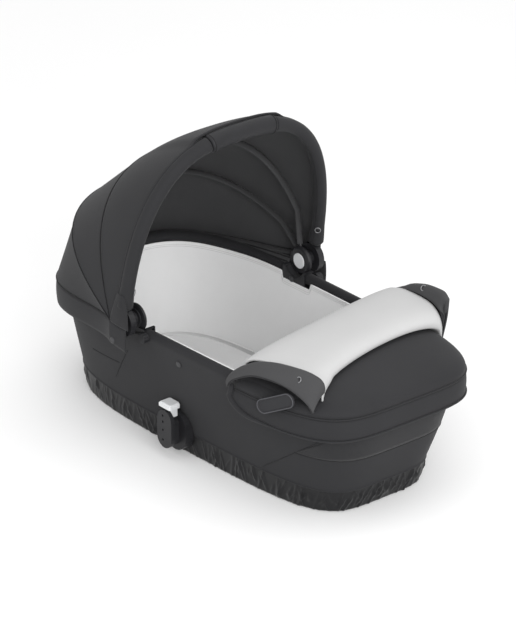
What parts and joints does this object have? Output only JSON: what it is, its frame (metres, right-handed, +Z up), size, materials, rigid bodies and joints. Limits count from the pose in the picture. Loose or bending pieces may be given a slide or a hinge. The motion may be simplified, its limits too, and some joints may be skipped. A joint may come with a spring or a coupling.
{
  "type": "carrycot",
  "caption": "Carrycot with a soft-sided tub, a folding hood under a carrying handle, a rolled-back apron over the foot end and an adapter with a release button on each side.",
  "frame": {"origin": "on the ground under the middle of the whole carrycot, hood up", "axes": "+Z up, +X towards the foot end, +Y to the left side of the child who lies in it"},
  "size_m": [0.8738, 0.4862, 0.6029],
  "materials": {
    "dark_cloth": "matt woven canvas",
    "white_cloth": "soft knitted lining",
    "black_plastic": "fine texture",
    "grey_plastic": "satin",
    "tube_metal": "satin anodised",
    "spring_steel": "plain wire",
    "stud_metal": "satin",
    "grip_skin": "smooth stitched skin",
    "floor_board": "hardboard"
  },
  "bodies": {
    "tub": {"base_tray": "black_plastic", "base_board": "floor_board", "side_post_left": "tube_metal", "side_post_right": "tube_metal", "rim_frame": "tube_metal", "outer_cover": "dark_cloth", "ruched_hem": "dark_cloth", "liner": "white_cloth", "mattress": "white_cloth", "apron_cover": "dark_cloth", "apron_skirt": "dark_cloth", "apron_flap": "white_cloth", "flap_end_left": "dark_cloth", "flap_end_right": "dark_cloth", "label_tag": "black_plastic", "adapter_flange_left": "black_plastic", "adapter_flange_right": "black_plastic", "adapter_plate_left": "black_plastic", "adapter_plate_right": "black_plastic", "bow_4_wire": "spring_steel", "bow_4_eye_left": "black_plastic", "bow_4_eye_right": "black_plastic", "canopy_rear": "dark_cloth", "hood_skirt": "dark_cloth", "hinge_lug_left": "black_plastic", "hinge_lug_right": "black_plastic", "hinge_tab_left": "black_plastic", "hinge_tab_right": "black_plastic", "pivot_pin_left": "spring_steel", "pivot_pin_right": "spring_steel", "rim_knob_left": "black_plastic", "rim_knob_right": "black_plastic", "cover_stud_left": "stud_metal", "cover_stud_right": "stud_metal", "hood_skirt_stud_left": "stud_metal", "hood_skirt_stud_right": "stud_metal", "tab_stud_left": "stud_metal", "tab_stud_right": "stud_metal"},
    "bow_3": {"bow_3_wire": "spring_steel", "bow_3_eye_left": "black_plastic", "bow_3_eye_right": "black_plastic", "canopy_middle": "dark_cloth"},
    "bow_2": {"bow_2_wire": "spring_steel", "bow_2_eye_left": "black_plastic", "bow_2_eye_right": "black_plastic", "canopy_front": "dark_cloth"},
    "handle": {"front_bow": "tube_metal", "grip": "grip_skin", "hub_inner_left": "black_plastic", "hub_inner_right": "black_plastic", "hub_socket_left": "black_plastic", "hub_socket_right": "black_plastic"},
    "memory_left": {"memory_button_left": "grey_plastic"},
    "memory_right": {"memory_button_right": "grey_plastic"},
    "release_left": {"adapter_button_left": "grey_plastic"},
    "release_right": {"adapter_button_right": "grey_plastic"}
  },
  "joints": [
    {"name": "bow_3_fold", "type": "hinge", "parent": "tub", "child": "bow_3", "pos_m": [-0.088, 0, 0.254], "axis": [0, 1, 0], "range_deg": [-24, 0], "deforming": ["canopy_rear"]},
    {"name": "bow_2_fold", "type": "hinge", "parent": "bow_3", "child": "bow_2", "pos_m": [-0.088, 0, 0.254], "axis": [0, 1, 0], "range_deg": [-24, 0], "deforming": ["canopy_middle"]},
    {"name": "hood_fold", "type": "hinge", "parent": "bow_2", "child": "handle", "pos_m": [-0.088, 0, 0.254], "axis": [0, 1, 0], "range_deg": [-24, 0], "deforming": ["canopy_front"]},
    {"name": "memory_press_left", "type": "slide", "parent": "handle", "child": "memory_left", "axis": [0, 1, 0], "range_m": [0, 0.003], "stiffness_N_per_m": 600, "springref_m": -0.003},
    {"name": "memory_press_right", "type": "slide", "parent": "handle", "child": "memory_right", "axis": [0, -1, 0], "range_m": [0, 0.003], "stiffness_N_per_m": 600, "springref_m": -0.003},
    {"name": "release_press_left", "type": "slide", "parent": "tub", "child": "release_left", "axis": [0, 0, -1], "range_m": [0, 0.004], "stiffness_N_per_m": 600, "springref_m": -0.003},
    {"name": "release_press_right", "type": "slide", "parent": "tub", "child": "release_right", "axis": [0, 0, -1], "range_m": [0, 0.004], "stiffness_N_per_m": 600, "springref_m": -0.003}
  ],
  "couplings": [
    {"joint": "bow_2_fold", "follows": "hood_fold", "ratio": 1},
    {"joint": "bow_3_fold", "follows": "hood_fold", "ratio": 1}
  ]
}
